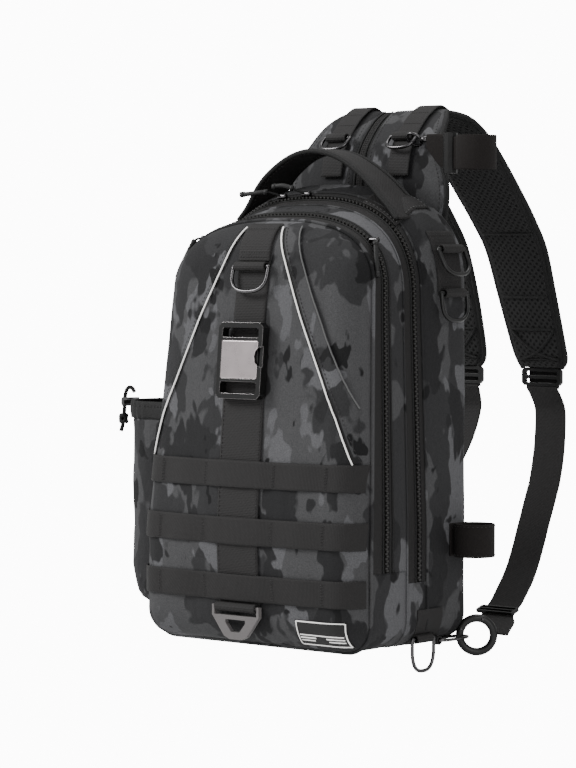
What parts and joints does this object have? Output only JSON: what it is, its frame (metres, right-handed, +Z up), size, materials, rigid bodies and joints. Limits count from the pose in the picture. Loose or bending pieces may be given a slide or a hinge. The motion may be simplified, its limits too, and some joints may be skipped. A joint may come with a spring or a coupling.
{
  "type": "sling backpack",
  "caption": "Boxy camouflage sling bag for fishing tackle, with zip compartments, webbing rows, a bottle pocket, rod-holder loops and zipped shoulder straps.",
  "frame": {"origin": "Under the crest of the shoulder straps, midway between them, where they lie on the shoulder.", "axes": "X to the right seen from the front, Y from the front panel to the back panel, Z up."},
  "size_m": [0.3993, 0.4202, 0.5321],
  "materials": {
    "camo_cloth": "woven, printed",
    "webbing": "ribbed webbing",
    "zip_tape": "woven tape",
    "mesh": "padded mesh",
    "reflective": "reflective tape",
    "black_plastic": "moulded",
    "grey_plastic": "moulded",
    "dark_steel": "gunmetal",
    "satin_steel": "satin"
  },
  "bodies": {
    "bag": {"back_panel": "mesh", "base_gusset": "camo_cloth", "base_tab": "webbing", "bottle_pocket": "camo_cloth", "buckle_frame": "black_plastic", "buckle_plate": "satin_steel", "carry_handle": "webbing", "cord_lock": "black_plastic", "front_gusset": "camo_cloth", "front_panel": "camo_cloth", "front_piping": "camo_cloth", "front_pull_left": "black_plastic", "front_pull_right": "black_plastic", "front_strip": "webbing", "front_zipper": "zip_tape", "gate_ring_left": "black_plastic", "gate_ring_right": "black_plastic", "label_patch": "webbing", "ladder_lock_left": "black_plastic", "ladder_lock_right": "black_plastic", "link_ring": "dark_steel", "lower_webbing_left": "webbing", "lower_webbing_right": "webbing", "main_body": "camo_cloth", "main_pull_left": "black_plastic", "main_pull_right": "black_plastic", "main_zipper": "zip_tape", "pocket_cord": "webbing", "pocket_hem": "webbing", "reflective_piping_left": "reflective", "reflective_piping_right": "reflective", "rod_hook": "dark_steel", "rod_loop": "webbing", "rod_strap": "webbing", "rod_strap_lock": "black_plastic", "side_webbing_left": "webbing", "side_webbing_right": "webbing", "strap_left": "mesh", "strap_right": "mesh", "strap_ring_right": "dark_steel", "strap_slide_left": "black_plastic", "strap_slide_right": "black_plastic", "strap_webbing_left": "webbing", "strap_webbing_right": "webbing", "strap_zipper": "zip_tape", "webbing_row_1": "webbing", "webbing_row_2": "webbing", "webbing_row_3": "webbing"},
    "front_d_ring": {"front_d_ring": "dark_steel"},
    "triangle_ring": {"triangle_ring": "grey_plastic"},
    "strap_ring_left": {"strap_ring_left": "dark_steel"},
    "base_ring": {"base_ring": "dark_steel"},
    "side_ring_upper_right": {"side_ring_upper_right": "black_plastic"},
    "side_ring_lower_right": {"side_ring_lower_right": "black_plastic"},
    "side_ring_upper_left": {"side_ring_upper_left": "black_plastic"},
    "side_ring_lower_left": {"side_ring_lower_left": "black_plastic"}
  },
  "joints": [
    {"name": "front_d_ring_swing", "type": "hinge", "parent": "bag", "child": "front_d_ring", "pos_m": [0, -0.22134, -0.141], "axis": [-1, 0, 0], "range_deg": [0, 130]},
    {"name": "triangle_ring_swing", "type": "hinge", "parent": "bag", "child": "triangle_ring", "pos_m": [0, -0.24226, -0.457], "axis": [-1, 0, 0], "range_deg": [0, 110]},
    {"name": "strap_ring_left_swing", "type": "hinge", "parent": "bag", "child": "strap_ring_left", "pos_m": [-0.041, -0.04404, -0.01674], "axis": [-1, 0, 0], "range_deg": [0, 80]},
    {"name": "base_ring_swing", "type": "hinge", "parent": "bag", "child": "base_ring", "pos_m": [0.13, -0.128, -0.4864], "axis": [0, -1, 0], "range_deg": [-30, 80]},
    {"name": "side_ring_upper_right_swing", "type": "hinge", "parent": "bag", "child": "side_ring_upper_right", "pos_m": [0.13229, -0.089, -0.125], "axis": [0, -1, 0], "range_deg": [-5, 100]},
    {"name": "side_ring_lower_right_swing", "type": "hinge", "parent": "bag", "child": "side_ring_lower_right", "pos_m": [0.13592, -0.089, -0.166], "axis": [0, -1, 0], "range_deg": [0, 100]},
    {"name": "side_ring_upper_left_swing", "type": "hinge", "parent": "bag", "child": "side_ring_upper_left", "pos_m": [-0.13229, -0.089, -0.125], "axis": [0, 1, 0], "range_deg": [-5, 100]},
    {"name": "side_ring_lower_left_swing", "type": "hinge", "parent": "bag", "child": "side_ring_lower_left", "pos_m": [-0.13592, -0.089, -0.166], "axis": [0, 1, 0], "range_deg": [0, 100]}
  ]
}
